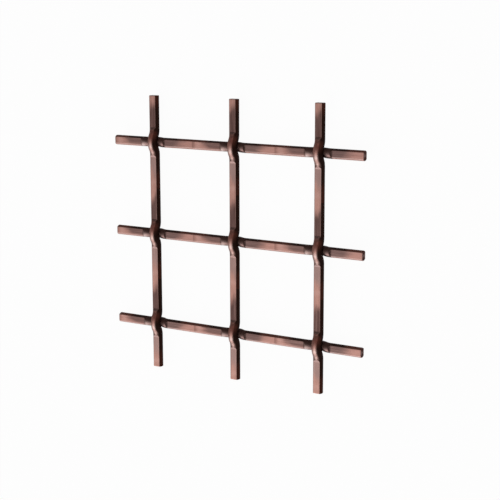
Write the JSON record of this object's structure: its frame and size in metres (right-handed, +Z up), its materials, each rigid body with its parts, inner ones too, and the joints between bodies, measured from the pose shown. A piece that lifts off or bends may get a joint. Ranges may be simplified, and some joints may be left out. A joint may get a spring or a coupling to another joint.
{
  "type": "decorative wire grille sheet",
  "caption": "Square cut piece of decorative crimped wire grille: uprights bowed over cross wires, welded at the crossings, fronts pressed flat, antique copper finish.",
  "frame": {"origin": "under the middle of the sheet, level with the backs of the cross wires' crimps that it lies on", "axes": "+X along the cross wires to the sheet's right edge, +Y along the uprights to its upper edge, +Z up, out of its front"},
  "size_m": [0.1142, 0.1142, 0.0072],
  "materials": {
    "antique_copper": "steel wire with an antique copper plate: dark patina in the crimps, satin pink copper where the flats are relieved"
  },
  "bodies": {
    "root": {"upright_wire_left": "antique_copper", "upright_wire_middle": "antique_copper", "upright_wire_right": "antique_copper", "cross_wire_lower": "antique_copper", "cross_wire_middle": "antique_copper", "cross_wire_upper": "antique_copper"}
  },
  "joints": []
}
